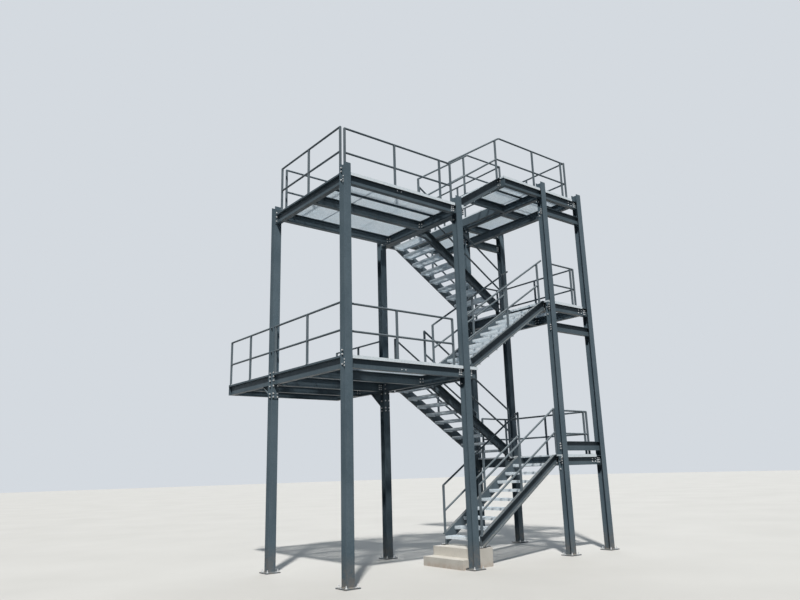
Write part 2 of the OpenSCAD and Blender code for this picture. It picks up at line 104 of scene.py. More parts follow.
CAP_COLS, CAP_ROWS = (-38.0, 38.0), (-45, -100, -155)
LEG, LEG_T, LEG_IN = 80.0, 8.0, 34.0    # angle cleats of the beams, and the same distance
LEG_BOLT_X, LEG_BOLT_Y = 55, 52
BRACKET_B, BRACKET_H, BRACKET_T, BRACKET_BOLT = 150, 72, 8, 48
CLEAT, CLEAT_T, CLEAT_BOLT, CLEAT_IN = 70, 8, 44, 35    # angle cleats of the stringers
LAP_BOLT = 24                           # their other bolt, from the end of the leg along X
# The last is the height of the dark strips on the left edges, which are painted shade
STRIP_T, STRIP_H, SHADE_STRIP_H = 4.0, 60.0, 34.0
CLOSER_T = 8                            # plate on the end of deck 5's front beam
BEARER_WEB, BEARER_B, BEARER_H, BEARER_T = 6, 44, 45, 5

# Bolts: width across flats, height of the head or nut, and the thread's end beyond a nut
M8_HEAD, M8_NUT = (13.0, 6.0), (13.0, 6.0, 4.0)
M12_HEAD, M12_NUT, M12_ANCHOR = (19.0, 9.0), (19.0, 7.0, 6.0), (19.0, 9.0, 14.0)
M12_FLAT_HEAD = (19.0, 8.0)
M16_HEAD, M16_NUT = (24.0, 11.0), (24.0, 13.0, 7.0)
M18_HEAD, M18_NUT = (27.0, 12.0), (27.0, 15.0, 9.0)
M20_ANCHOR = (30.0, 16.0, 28.0)
WASHER_T = 3.0
UP = (0, 0, 1)


def m(x, y, z):
    """A place in CAD millimetres as the frame's metres."""
    return Vector(((x - X_MID)/1000, (y - Y_MID)/1000, z/1000))


# Mesh builder
def circle(centre, r, side, up, n):
    """n points round a centre, from the direction side towards up."""
    turns = [2*math.pi*k/n for k in range(n)]
    return [tuple(centre + r*(math.cos(a)*side + math.sin(a)*up)) for a in turns]


def band(low, high, n):
    """Faces between two rings of n points, whose first points have these numbers."""
    return [(low + k, low + (k + 1) % n, high + (k + 1) % n, high + k) for k in range(n)]


class Build:
    """Collects the faces of one piece, in CAD millimetres or in those of the flight whose lane is given.
    slot is the place in the piece's list of materials that the next faces take."""

    def __init__(self, lane=None):
        self.v, self.f, self.smooth, self.mat = [], [], [], []
        self.slot, self.lane = 0, lane

    def add(self, verts, faces, smooth=False):
        n = len(self.v)
        self.v.extend([self.lane(p) for p in verts] if self.lane else verts)
        self.f.extend([[n + i for i in f] for f in faces])
        self.smooth.extend([smooth]*len(faces))
        self.mat.extend([self.slot]*len(faces))

    def box(self, x1, x2, y1, y2, z1, z2):
        """Block between two places on each axis, given in either order."""
        xs, ys, zs = sorted((x1, x2)), sorted((y1, y2)), sorted((z1, z2))
        self.add([(x, y, z) for z in zs for y in ys for x in xs],
                 [(0, 2, 3, 1), (4, 5, 7, 6), (0, 1, 5, 4), (2, 6, 7, 3), (0, 4, 6, 2), (1, 3, 7, 5)])

    def prism(self, outline, place):
        """outline is a list of (u, v); place(u, v, w) gives the point, w is 0 or 1."""
        n = len(outline)
        verts = [place(u, v, w) for w in (0, 1) for u, v in outline]
        self.add(verts, [tuple(range(n))[::-1], tuple(range(n, 2*n))] + band(0, n, n))

    def tube(self, path, r, sides):
        """Round bar with flat ends along a path of points."""
        pts = [Vector(p) for p in path]
        rings, up = [], None
        for i, p in enumerate(pts):
            d = (pts[min(i + 1, len(pts) - 1)] - pts[max(i - 1, 0)]).normalized()
            if up is None:
                up = Vector((0, 0, 1)) if abs(d.z) < 0.9 else Vector((1, 0, 0))
            side = d.cross(up).normalized()
            up = side.cross(d).normalized()
            rings.append(circle(p, r, side, up, sides))
        faces = [f for i in range(len(rings) - 1) for f in band(i*sides, (i + 1)*sides, sides)]
        self.add([q for ring in rings for q in ring], faces, True)
        self.add(rings[0], [tuple(range(sides))[::-1]])
        self.add(rings[-1], [tuple(range(sides))])

    def ball(self, c, r):
        """Sphere for a rounded rail end."""
        sides, rows = 16, 8
        verts = [(c[0], c[1], c[2] - r)]
        for j in range(1, rows):
            t = math.pi*j/rows - math.pi/2
            for k in range(sides):
                a = 2*math.pi*k/sides
                x, y = c[0] + r*math.cos(t)*math.cos(a), c[1] + r*math.cos(t)*math.sin(a)
                verts.append((x, y, c[2] + r*math.sin(t)))
        verts.append((c[0], c[1], c[2] + r))
        last = len(verts) - 1
        faces = [(0, 1 + (k + 1) % sides, 1 + k) for k in range(sides)]
        faces += [f for j in range(rows - 2) for f in band(1 + j*sides, 1 + (j + 1)*sides, sides)]
        faces += [(last, last - sides + k, last - sides + (k + 1) % sides) for k in range(sides)]
        self.add(verts, faces, True)

    def bolt(self, p, axis, size, head, stud=0.0):
        """Hexagon head or nut on a washer at p, standing out along axis; stud is a thread's end beyond it."""
        d = Vector(axis).normalized()
        side = d.orthogonal().normalized()
        up = side.cross(d)
        p = Vector(p)
        washer = (0.62*size, 0.0, WASHER_T, 14, 1.0)
        hexagon = (0.577*size, WASHER_T, WASHER_T + head, 6, 0.9)
        for r, h0, h1, n, top in (washer, hexagon):
            verts = []
            for h, radius in ((h0, r), (h0 + 0.8*(h1 - h0), r), (h1, r*top)):
                verts += circle(p + d*h, radius, side, up, n)
            self.add(verts, band(0, n, n) + band(n, 2*n, n) + [tuple(range(2*n, 3*n))])
        if stud:
            a = p + d*(WASHER_T + head)
            self.tube([a, a + d*stud], 0.33*size, 10)

    def piece(self, name, mats, replaces=()):
        """Makes the object, in metres, on the stair's one body."""
        me = bpy.data.meshes.new(name)
        me.from_pydata([m(*p) for p in self.v], [], self.f)
        for mat in mats:
            me.materials.append(mat)
        me.polygons.foreach_set("use_smooth", self.smooth)
        me.polygons.foreach_set("material_index", self.mat)
        me.update()
        ob = bpy.data.objects.new(name, me)
        bpy.context.scene.collection.objects.link(ob)
        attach(ob, "root")
        if replaces:
            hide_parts(*replaces)


# Materials
class Nodes:
    """Short ways to add shader nodes to one material."""

    def __init__(self, name):
        self.mat = bpy.data.materials.new(name)
        self.mat.use_nodes = True
        self.t = self.mat.node_tree
        self.t.nodes.clear()
        self.bsdf = self.t.nodes.new("ShaderNodeBsdfPrincipled")
        self.link(self.bsdf.outputs[0], self.t.nodes.new("ShaderNodeOutputMaterial").inputs[0])
        self.co = self.t.nodes.new("ShaderNodeTexCoord").outputs["Object"]

    def link(self, a, b):
        self.t.links.new(a, b)

    def node(self, kind, **values):
        n = self.t.nodes.new("ShaderNode" + kind)
        for key, v in values.items():
            n.inputs[key.replace("_", " ")].default_value = v
        return n

    def scaled(self, sx, sy, sz):
        n = self.node("Mapping", Scale=(sx, sy, sz))
        self.link(self.co, n.inputs["Vector"])
        return n.outputs[0]

    def noise(self, scale, detail, rough=0.55, vec=None):
        n = self.node("TexNoise", Scale=scale, Detail=detail, Roughness=rough)
        self.link(self.co if vec is None else vec, n.inputs["Vector"])
        return n.outputs["Fac"]

    def cells(self, scale, out):
        n = self.node("TexVoronoi", Scale=scale)
        self.link(self.co, n.inputs["Vector"])
        return n.outputs[out]

    def ramp(self, fac, a, b, va=0.0, vb=1.0):
        n = self.node("MapRange", From_Min=a, From_Max=b, To_Min=va, To_Max=vb)
        self.link(fac, n.inputs["Value"])
        return n.outputs[0]

    def math(self, op, a, b):
        n = self.node("Math")
        n.operation = op
        for i, s in enumerate((a, b)):
            if isinstance(s, (int, float)):
                n.inputs[i].default_value = s
            else:
                self.link(s, n.inputs[i])
        return n.outputs[0]

    def mix(self, fac, a, b):
        n = self.node("Mix")
        n.data_type = "RGBA"
        self.link(fac, [i for i in n.inputs if i.name == "Factor" and i.type == "VALUE"][0])
        for key, s in (("A", a), ("B", b)):
            sock = [i for i in n.inputs if i.name == key and i.type == "RGBA"][0]
            if isinstance(s, tuple):
                sock.default_value = (*s, 1.0)
            else:
                self.link(s, sock)
        return [o for o in n.outputs if o.type == "RGBA"][0]

    def over(self, col, mask, most, colour):
        """Lays a colour over col where the mask is, at most by this much."""
        return self.mix(self.math("MULTIPLY", mask, most), col, colour)

    def upward(self):
        """Height part of the surface's normal."""
        s = self.node("SeparateXYZ")
        self.link(self.node("NewGeometry").outputs["Normal"], s.inputs[0])
        return s.outputs[2]

    def height(self):
        """Metres above the floor."""
        s = self.node("SeparateXYZ")
        self.link(self.co, s.inputs[0])
        return s.outputs[2]

    def bump(self, height, strength, distance):
        n = self.node("Bump", Strength=strength, Distance=distance)
        self.link(height, n.inputs["Height"])
        self.link(n.outputs[0], self.bsdf.inputs["Normal"])

    def finish(self, col, rough, **values):
        """Joins colour and roughness to the shader and sets its own sockets."""
        self.link(col, self.bsdf.inputs["Base Color"])
        if rough is not None:
            self.link(rough, self.bsdf.inputs["Roughness"])
        for key, v in values.items():
            self.bsdf.inputs[key.replace("_", " ")].default_value = v
        return self.mat


def paint(name, base, light, dust=0.5):
    """Anthracite coating on steel: slow colour drift, fine speckle, run marks, dust on what faces up and
    soil near the ground. dust is how much of that colour shows at most."""
    n = Nodes(name)
    col = n.over(base, n.ramp(n.noise(1.3, 4.0), 0.35, 0.65), 0.75, light)
    fleck = tuple(min(1.0, 1.9*c) for c in light)
    col = n.over(col, n.ramp(n.noise(38.0, 3.0), 0.3, 0.7), 0.16, fleck)
    runs = n.ramp(n.noise(1.0, 5.0, 0.65, n.scaled(34.0, 34.0, 1.1)), 0.56, 0.78)
    col = n.over(col, runs, 0.22, (0.24, 0.25, 0.25))
    specks = n.ramp(n.noise(14.0, 6.0, 0.7), 0.38, 0.66)
    col = n.over(col, n.math("MULTIPLY", n.ramp(n.upward(), 0.45, 0.95), specks), dust, (0.34, 0.32, 0.28))
    soil = n.math("MULTIPLY", n.ramp(n.height(), 0.55, 0.0), n.ramp(n.noise(9.0, 6.0, 0.7), 0.35, 0.7))
    col = n.over(col, soil, 0.45, (0.36, 0.26, 0.18))
    n.bump(n.noise(420.0, 2.0), 0.10, 0.0006)
    return n.finish(col, n.ramp(n.noise(7.0, 5.0, 0.6), 0.3, 0.7, 0.34, 0.52),
                    Metallic=0.0, IOR=1.5, Specular_IOR_Level=0.14)


def zinc(name, dark, light, metallic, grain=55.0):
    """Hot-dip galvanised steel: crystal patches of two greys, paler in clouds and stained in spots. grain is
    the number of patches to a metre."""
    n = Nodes(name)
    flake = n.node("SeparateColor")
    n.link(n.cells(grain, "Color"), flake.inputs[0])
    col = n.mix(n.ramp(flake.outputs[0], 0.0, 1.0), dark, light)
    col = n.over(col, n.ramp(n.noise(2.6, 5.0, 0.6), 0.35, 0.7), 0.35, (0.88, 0.90, 0.92))
    col = n.over(col, n.ramp(n.noise(23.0, 5.0, 0.7), 0.58, 0.8), 0.35, (0.36, 0.35, 0.33))
    n.bump(n.noise(160.0, 3.0), 0.12, 0.0008)
    return n.finish(col, n.ramp(flake.outputs[1], 0.0, 1.0, 0.34, 0.56), Metallic=metallic, IOR=1.5)


def concrete(name):
    """Pale cast concrete with sand, pores and a soiled lower edge."""
    n = Nodes(name)
    col = n.mix(n.ramp(n.noise(2.2, 6.0, 0.6), 0.3, 0.7), (0.47, 0.45, 0.41), (0.62, 0.60, 0.56))
    sand = n.ramp(n.noise(140.0, 3.0, 0.7), 0.35, 0.65)
    col = n.over(col, sand, 0.35, (0.70, 0.68, 0.63))
    pores = n.ramp(n.cells(46.0, "Distance"), 0.10, 0.16, 1.0, 0.0)
    pores = n.math("MULTIPLY", pores, n.ramp(n.noise(6.0, 2.0), 0.52, 0.56))
    col = n.over(col, pores, 0.7, (0.22, 0.21, 0.19))
    soil = n.math("MULTIPLY", n.ramp(n.height(), 0.12, 0.0), n.ramp(n.noise(11.0, 5.0), 0.3, 0.65))
    col = n.over(col, soil, 0.6, (0.42, 0.29, 0.20))
    n.bump(n.math("SUBTRACT", n.math("MULTIPLY", sand, 0.3), pores), 0.5, 0.002)
    return n.finish(col, n.ramp(sand, 0.0, 1.0, 0.82, 0.96))


PAINT = paint("paint_columns", (0.074, 0.108, 0.134), (0.112, 0.153, 0.185))
# The beams' and stringers' coats are darker copies of the columns' coat: painted shade
PAINT_BEAM_SHADE = paint("paint_beams_painted_shade", (0.060, 0.088, 0.109), (0.092, 0.125, 0.150))
PAINT_STRINGER_SHADE = paint("paint_stringers_painted_shade", (0.066, 0.089, 0.107), (0.100, 0.128, 0.150))
# The rails' coat is a paler copy of the columns' coat: painted light
PAINT_RAIL_LIT = paint("paint_rails_painted_light", (0.096, 0.124, 0.146), (0.142, 0.174, 0.198), 0.35)
# The gratings' zinc is bluer and paler than the bolts' zinc: painted sky light and sunlight
ZINC_SKY_TINTED = zinc("zinc_gratings_painted_skylight", (0.59, 0.68, 0.74), (0.77, 0.85, 0.92), 0.15)
ZINC_BOLT = zinc("zinc_bolts", (0.55, 0.57, 0.59), (0.82, 0.83, 0.84), 0.55, 120.0)
CONCRETE = concrete("cast_concrete")

# The CAD nodes' materials by the start of their names, and the nodes whose edges are broken
NODE_MATERIALS = {"col": PAINT, "fra": PAINT_BEAM_SHADE, "tie": PAINT_BEAM_SHADE, "sta": CONCRETE}
BROKEN_EDGES = ("column", "frame", "tie", "stringers", "start_block")
for name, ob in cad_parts.items():
    for material_slot in ob.material_slots:
        material_slot.material = NODE_MATERIALS.get(name[:3], PAINT_STRINGER_SHADE)
    if name.startswith(BROKEN_EDGES):
        edge = ob.modifiers.new("edges", "BEVEL")
        edge.width, edge.segments = (0.012, 3) if name == "start_block" else (0.002, 2)
        edge.limit_method = "ANGLE"


# Gratings
def spans(rects, holes, axis, at):
    """Stretches along the other axis where a line at this place lies in the rects and outside the holes.
    A rect or hole is (x1, x2, y1, y2)."""
    c, a = (0, 2) if axis == 0 else (2, 0)
    merged = []
    for lo, hi in sorted((r[a], r[a + 1]) for r in rects if r[c] < at < r[c + 1]):
        if merged and lo <= merged[-1][1] + 0.01:
            merged[-1][1] = max(merged[-1][1], hi)
        else:
            merged.append([lo, hi])
    for h in holes:
        if h[c] < at < h[c + 1]:
            cut = []
            for lo, hi in merged:
                if h[a] > lo:
                    cut.append([lo, min(hi, h[a])])
                if h[a + 1] < hi:
                    cut.append([max(lo, h[a + 1]), hi])
            merged = [s for s in cut if s[1] - s[0] > SHORTEST]
    return merged


def inside(rects, holes, x, y):
    """Whether a place lies in the rects and outside the holes."""
    return any(r[0] < x < r[1] and r[2] < y < r[3] for r in rects) and not any(
        h[0] < x < h[1] and h[2] < y < h[3] for h in holes)


def grating(name, rects, holes, z, joints_x, joints_y, clips_y):
    """Welded bar grating with its top at z: bearing bars along Y, cross rods, banded edges, joints between
    its panels at joints_x and joints_y, and clips at clips_y beside the joints and the ends."""
    b = Build()
    far = 1e4
    cuts = holes + [(x - BAND, x + BAND, -far, far) for x in joints_x]
    cuts += [(-far, far, y - BAND, y + BAND) for y in joints_y]
    zb = z - GRATE_T
    x_lo, x_hi = min(r[0] for r in rects), max(r[1] for r in rects)
    y_lo, y_hi = min(r[2] for r in rects), max(r[3] for r in rects)
    x = x_lo + BAR_PITCH
    while x < x_hi - 2*BAND:
        if all(abs(x - j) > BAND + 5 for j in joints_x):
            for lo, hi in spans(rects, cuts, 0, x):
                b.box(x - BAR_T/2, x + BAR_T/2, lo + 1, hi - 1, zb, z)
        x += BAR_PITCH
    y = y_lo + ROD_PITCH/2
    while y < y_hi - BAND:
        for lo, hi in spans(rects, cuts, 1, y):
            b.box(lo + 1, hi - 1, y - ROD_W/2, y + ROD_W/2, z - ROD_SUNK - ROD_H, z - ROD_SUNK)
        y += ROD_PITCH
    xs = sorted({v for r in rects + holes for v in r[:2]} | {j + s for j in joints_x for s in (-BAND, BAND)})
    ys = sorted({v for r in rects + holes for v in r[2:]} | {j + s for j in joints_y for s in (-BAND, BAND)})
    for x in xs:
        for y0, y1 in zip(ys, ys[1:]):
            before, after = (inside(rects, cuts, x + s, (y0 + y1)/2) for s in (-1, 1))
            if before != after:
                b.box(x, x - BAND if before else x + BAND, y0, y1, zb, z)
    for y in ys:
        for x0, x1 in zip(xs, xs[1:]):
            before, after = (inside(rects, cuts, (x0 + x1)/2, y + s) for s in (-1, 1))
            if before != after:
                b.box(x0, x1, y, y - BAND if before else y + BAND, zb, z)
    b.slot = 1
    beside = [j + s for j in joints_x for s in (-CLIP_SIDE, CLIP_SIDE)]
    for y in clips_y:
        for x in [x_lo + CLIP_END] + beside + [x_hi - CLIP_END]:
            if all(inside(rects, holes, x + s, y) for s in (-30, 30)):
                b.box(x - CLIP_X, x + CLIP_X, y - CLIP_Y, y + CLIP_Y, z, z + CLIP_T)
                b.bolt((x, y, z + CLIP_T), UP, *M8_HEAD)
    b.piece(name + "_bars", [ZINC_SKY_TINTED, ZINC_BOLT], [name])


def col_cut(x, y):
    """Hole of a grating round a column."""
    return (x - COL_GAP, x + COL_GAP, y - COL_FACE - 8, y + COL_FACE + 8)


def pair(y):
    """Places of the clips on both sides of a joint."""
    return [y - CLIP_OFF, y + CLIP_OFF]


CUTS_LEFT = [col_cut(x, y) for x in (X_A, X_B) for y in (Y_F, Y_R)]
CUTS_PLATES = [(x - COL_GAP, x + COL_GAP, Y_R - COL_FACE - 48, Y_R) for x in (X_A, X_B)]
CUTS_RIGHT = [col_cut(X_C, Y_F), col_cut(X_C, Y_R)]
JOINTS_LEFT = [950.0, 1950.0, X_B - 20]
for i, z in ((1, Z_1), (3, Z_3)):
    grating("grating_%d" % i, [(X_EDGE, X_RIGHT, -TIP, Y_R + TIP)], CUTS_RIGHT, z,
            [X_C + 30], [ROW/2], [Y_F, *pair(ROW/2), Y_R])
grating("grating_2", [(-TIP, X_FOOT, -TIP, Y_R + TIP), (-TIP, X_B + TIP, Y_R + TIP, Y_WALL)],
        CUTS_LEFT + CUTS_PLATES, Z_2,
        JOINTS_LEFT, [ROW/2, Y_R, Y_R + REACH/2], [Y_F, *pair(ROW/2), *pair(Y_R), Y_WALL - 30])
grating("grating_4",
        [(-TIP, X_TOP_FOOT, -TIP, Y_BACK_4 + TIP), (X_B - TIP, X_TOP_FOOT, Y_BACK_4 + TIP, Y_R + TIP)],
        CUTS_LEFT + CUTS_PLATES[1:], Z_4,
        JOINTS_LEFT, [Y_BACK_4/2], [Y_F, *pair(Y_BACK_4/2), Y_BACK_4])
grating("grating_5", [(X_TOP, X_RIGHT, -TIP, Y_IN), (X_HOLE, X_RIGHT, Y_IN, Y_WALL)],
        [col_cut(X_C, Y_F)], Z_5,
        [X_HOLE + 120], [Y_IN - 60, Y_R, Y_R + REACH/2], [Y_F, *pair(Y_IN - 60), *pair(Y_R), Y_WALL - 30])


# Flights
def lane(x0, y0, z0, way):
    """Places a flight's own millimetres: it rises to +X in the front lane, and mirrored in the back."""
    return lambda p: (x0 + way*p[0], y0 + p[1], z0 + p[2])


FLIGHTS = {
    1: (lane(X_FOOT, Y_FRONT_LANE, Z_0, 1), RISERS),
    2: (lane(X_EDGE, Y_BACK_LANE, Z_1, -1), RISERS),
    3: (lane(X_FOOT, Y_FRONT_LANE, Z_2, 1), RISERS),
    4: (lane(X_EDGE, Y_BACK_LANE, Z_3, -1), RISERS),
    5: (lane(X_TOP_FOOT, Y_FRONT_LANE, Z_4, 1), TOP_RISERS),
}
# Outer faces of a flight's stringers, and their ways out
STRINGER_SIDES = ((-STR_TW, -1), (TREAD_W + STR_TW, 1))


def tread(b, x, z):
    """Grating tread with its nosing at x and its top at z: end plates, bars, rods and a ribbed nosing."""
    b.slot = 0
    y0, y1, back = TREAD_PLATE_T, TREAD_W - TREAD_PLATE_T, x + TREAD_D
    for y in (0.0, y1):
        b.box(x + TREAD_PLATE_IN, back - TREAD_PLATE_IN, y, y + TREAD_PLATE_T, z - TREAD_PLATE_H, z)
    k = x + TREAD_BAR_1
    while k < back - BAND - 2:
        b.box(k - BAR_T/2, k + BAR_T/2, y0, y1, z - GRATE_T, z)
        k += TREAD_PITCH
    b.box(back - BAND, back, y0, y1, z - GRATE_T, z)
    y = TREAD_ROD_1
    while y < TREAD_W - 8:
        b.box(x + 30, back - 2, y - ROD_W/2, y + ROD_W/2, z - ROD_SUNK - ROD_H, z - ROD_SUNK)
        y += ROD_PITCH
    b.box(x, x + NOSE_T, 0, TREAD_W, z - NOSE_H, z)
    b.box(x + NOSE_T, x + NOSE_D, 0, TREAD_W, z - NOSE_T, z)
    y = RIB_IN
    while y < TREAD_W - RIB_IN:
        for s in RIB_ROWS:
            b.box(x + s, x + s + RIB_W, y, y + RIB_L, z, z + RIB_H)
        y += RIB_PITCH


for i, (place, risers) in FLIGHTS.items():
    b = Build(place)
    for k in range(1, risers):
        tread(b, (k - 1)*GOING, k*RISE)
    for k in range(1, risers):
        z = k*RISE + TREAD_BOLT_Z
        for x in ((k - 1)*GOING + s for s in TREAD_BOLTS):
            b.slot = 2
            for y, d in STRINGER_SIDES:
                b.bolt((x, y, z), (0, d, 0), *M12_FLAT_HEAD)
            b.slot = 1
            for y, d in ((TREAD_PLATE_T, 1), (TREAD_W - TREAD_PLATE_T, -1)):
                b.bolt((x, y, z), (0, d, 0), *M12_NUT)
    b.piece("treads_%d_bars" % i, [ZINC_SKY_TINTED, ZINC_BOLT, PAINT_STRINGER_SHADE], ["treads_%d" % i])


# Guard rails
def post(b, x, y, z0, z1, foot=None):
    """Square tube post with rounded edges; foot is the axis that its foot plate lies along, if it has one."""
    h, c = POST/2, POST_EDGE
    q = h - 0.3*c
    ring = [(h, h - c), (q, q), (h - c, h), (-h + c, h), (-q, q), (-h, h - c),
            (-h, -h + c), (-q, -q), (-h + c, -h), (h - c, -h), (q, -q), (h, -h + c)]
    b.prism(ring, lambda u, v, w: (x + u, y + v, z1 if w else z0))
    if foot is None:
        return
    along_x = foot == "x"
    l, w = (FOOT_L, h) if along_x else (h, FOOT_L)
    b.box(x - l, x + l, y - w, y + w, z0, z0 + FOOT_T)
    b.slot = 1
    for s in (-FOOT_BOLT, FOOT_BOLT):
        b.bolt((x + s, y, z0 + FOOT_T) if along_x else (x, y + s, z0 + FOOT_T), UP, *M8_NUT)
    b.slot = 0


def rails(b, a, c, tubes):
    """Rails between two places on the deck or nosing line, with rounded ends. tubes holds their heights and
    diameters."""
    for h, d in tubes:
        p, q = (a[0], a[1], a[2] + h), (c[0], c[1], c[2] + h)
        b.tube([p, q], d/2, 24)
        for e in (p, q):
            b.ball(e, d/2 + 0.6)


def collars(b, x, y, z, tubes, below, above):
    """Welds under the rails where they cross a post at this place on the deck or nosing line."""
    for h, d in tubes:
        b.tube([(x, y, z + h - d/2 - below), (x, y, z + h - d/2 + above)], COLLAR_R, 16)


BOTH = ((RAIL_TOP, RAIL_D), (RAIL_MID, MID_D))
ROOF = ((ROOF_RAIL, RAIL_D), (RAIL_MID, MID_D))
X_ROOF = X_TOP + RAIL_PAST + RAIL_D + 5     # the top rails of deck 5 start past those of flight 5


def panel(b, axis, s1, s2, line, z, posts, tubes):
    """Straight guard rail along an axis, from s1 to s2 on a line, with posts at the given places."""
    def at(s):
        return (s, line, z) if axis == "x" else (line, s, z)

    rails(b, at(s1), at(s2), tubes[:1])
    rails(b, at(X_TOP + RAIL_PAST if s1 == X_ROOF else s1), at(s2), tubes[1:])
    for s in posts:
        x, y, _ = at(s)
        post(b, x, y, z, z + tubes[0][0], axis)
        collars(b, x, y, z, tubes, 2, 3)


# Lines and ends of the guard rails; the posts stand where the photo shows them
Y_NEAR = Y_FRONT_LANE - STR_B/2
Y_INNER = Y_FRONT_LANE + TREAD_W + STR_B/2
Y_BACK = Y_BACK_LANE + TREAD_W + STR_B/2
Y_BACK_RAIL_4 = Y_BACK_4 + 15
Y_FIRST, Y_LAST = COL_FACE + 36, Y_WALL - 60
Y_FIFTH = Y_NEAR - 25
Y_REACH_POST = Y_R + REACH/2 + 40
X_FIRST = X_A + 70
X_LEFT_RAIL = X_A - TIP + POST/2
X_RIGHT_RAIL = X_RIGHT - POST/2 - 5
X_HOLE_RAIL = X_HOLE + 145
X_LAND, X_CORNER, X_RAIL_END = X_EDGE + 260, X_RIGHT_RAIL - 110, X_RIGHT_RAIL - 45
X_CORNER_4 = X_LEFT_RAIL + 110
LANDING = [("x", X_LAND, X_RAIL_END, Y_NEAR, (X_LAND, X_CORNER)),
           ("y", Y_NEAR, Y_BACK, X_RIGHT_RAIL, (Y_NEAR, ROW/2, Y_BACK)),
           ("x", X_LAND, X_RAIL_END, Y_BACK, (X_LAND, X_CORNER))]
PANELS = {
    1: (Z_1, LANDING),
    2: (Z_2, [("x", X_FIRST, X_B - 180, Y_NEAR, (X_FIRST, X_B/2 - 190, X_B - 180)),
              ("y", Y_FIRST, Y_LAST, X_LEFT_RAIL, (Y_FIRST, ROW/2 - 50, Y_R - 130, Y_R + REACH/2, Y_LAST)),
              ("y", Y_R + 130, Y_LAST, X_B - 10, (Y_R + 130, Y_R + REACH/2, Y_LAST))]),
    3: (Z_3, LANDING),
    4: (Z_4, [("x", X_FIRST, X_TOP_FOOT - 250, Y_NEAR, (X_FIRST, X_B/2 - 140, X_B - 350)),
              ("y", Y_FIRST, Y_BACK_RAIL_4 - 5, X_LEFT_RAIL, (Y_FIRST, ROW/2 - 60, Y_BACK_RAIL_4 - 5)),
              ("x", X_CORNER_4, X_TOP_FOOT - 70, Y_BACK_RAIL_4, (X_CORNER_4, X_B/2 + 70, X_TOP_FOOT - 70))]),
    5: (Z_5, [("x", X_ROOF, X_RAIL_END, Y_NEAR, (X_C - 100, X_CORNER)),
              ("y", Y_FIFTH, Y_LAST, X_RIGHT_RAIL, (Y_FIFTH, ROW/2, Y_R + 130, Y_REACH_POST, Y_LAST)),
              ("x", X_ROOF, X_HOLE_RAIL, Y_INNER, (X_HOLE_RAIL,)),
              ("y", Y_INNER, Y_LAST, X_HOLE_RAIL, (Y_R + COL_FACE + 10, Y_REACH_POST, Y_LAST))]),
}
for i, (z, panels) in PANELS.items():
    b = Build()
    for axis, s1, s2, line, posts in panels:
        panel(b, axis, s1, s2, line, z, posts, ROOF if i == 5 else BOTH)
    b.piece("rails_deck_%d_tubes" % i, [PAINT_RAIL_LIT, ZINC_BOLT], ["rails_deck_%d" % i])

# The rails of the flights: both ends and the posts, along X from the first nosing. The middle rails of
# flights 1 to 4 end at the last post, and those of flight 5 bend level at the top
ENDS = {
    1: (35, RUN + 45, (35, RUN/2 + 40, RUN + 45)),
    2: (-80, RUN + 60, (-80, RUN/2 - 10, RUN + 60)),
    3: (-90, RUN + 20, (-90, RUN/2 - 35, RUN - 140)),
    4: (-80, RUN + 60, (-80, RUN/2 - 10, RUN + 60)),
    5: (-200, RUN_5 + RAIL_PAST, (-200, RUN_5 - 60)),
}
for i, (x1, x2, posts) in ENDS.items():
    place, risers = FLIGHTS[i]
    run = (risers - 1)*GOING
    b = Build(place)
    for y in (-STR_B/2, TREAD_W + STR_B/2):
        low = (x1, y, RISE + x1*TAN)
        rails(b, low, (x2, y, RISE + x2*TAN), BOTH[:1])
        if i < 5:
            x3 = min(x2, posts[-1])
            rails(b, low, (x3, y, RISE + x3*TAN), BOTH[1:])
        else:
            z = RISE + RUN_5*TAN + RAIL_MID
            b.tube([(x1, y, RISE + x1*TAN + RAIL_MID), (LEVEL_FROM, y, z), (x2, y, z)], MID_D/2, 24)
        for x in posts:
            z_top = RISE + x*TAN + RAIL_TOP
            if 0 <= x < run:
                post(b, x, y, RISE + (STR_UP_5 if i == 5 else STR_UP) + x*TAN - POST_SUNK, z_top)
            else:
                post(b, x, y, 0.0 if x < 0 else risers*RISE, z_top, "x")
            collars(b, x, y, RISE + x*TAN, BOTH, 8, 4)
    b.piece("rails_flight_%d_tubes" % i, [PAINT_RAIL_LIT, ZINC_BOLT], ["rails_flight_%d" % i])

# Column feet and bolted joints
b = Build()
for x, y in COLUMNS.values():
    for i in (-1, 1):
        for j in (-1, 1):
            b.bolt((x + i*ANCHOR/2, y + j*ANCHOR/2, BASE_T), UP, *M20_ANCHOR)
    b.slot = 1
    for s in (-1, 1):
        b.prism([(0, 0), (WELD*s, 0), (0, WELD)],
                lambda u, v, w: (x + (w - 0.5)*COL_B, y + s*COL_FACE + u, BASE_T + v))
    b.slot = 0
b.piece("anchor_nuts", [ZINC_BOLT, PAINT])

# Heights of the plates' bolts from the beam's top
TWO_ROWS = (-52, -148)
BACK_ROWS = (48, -28, -112, -222, -378, -447)
LOW_ROWS = (48, -40, -138, -242, -403, -563, -631)


def plate_y(b, col, face, top, above, below, rows=TWO_ROWS):
    """Extended end plate of a beam along Y on the flange of a column."""
    x, y = COLUMNS[col]
    y0 = y + face*COL_FACE
    y1 = y0 + face*PLATE_T
    b.slot = 0
    b.box(x - PLATE_W/2, x + PLATE_W/2, y0, y1, top - BEAM_H - below, top + above)
    b.slot = 1
    for row in rows:
        for s in (-1, 1):
            b.bolt((x + s*GAUGE, y1, top + row), (0, face, 0), *M18_HEAD)
            b.bolt((x + s*GAUGE, y + face*(COL_FACE - COL_TF), top + row), (0, -face, 0), *M18_NUT)


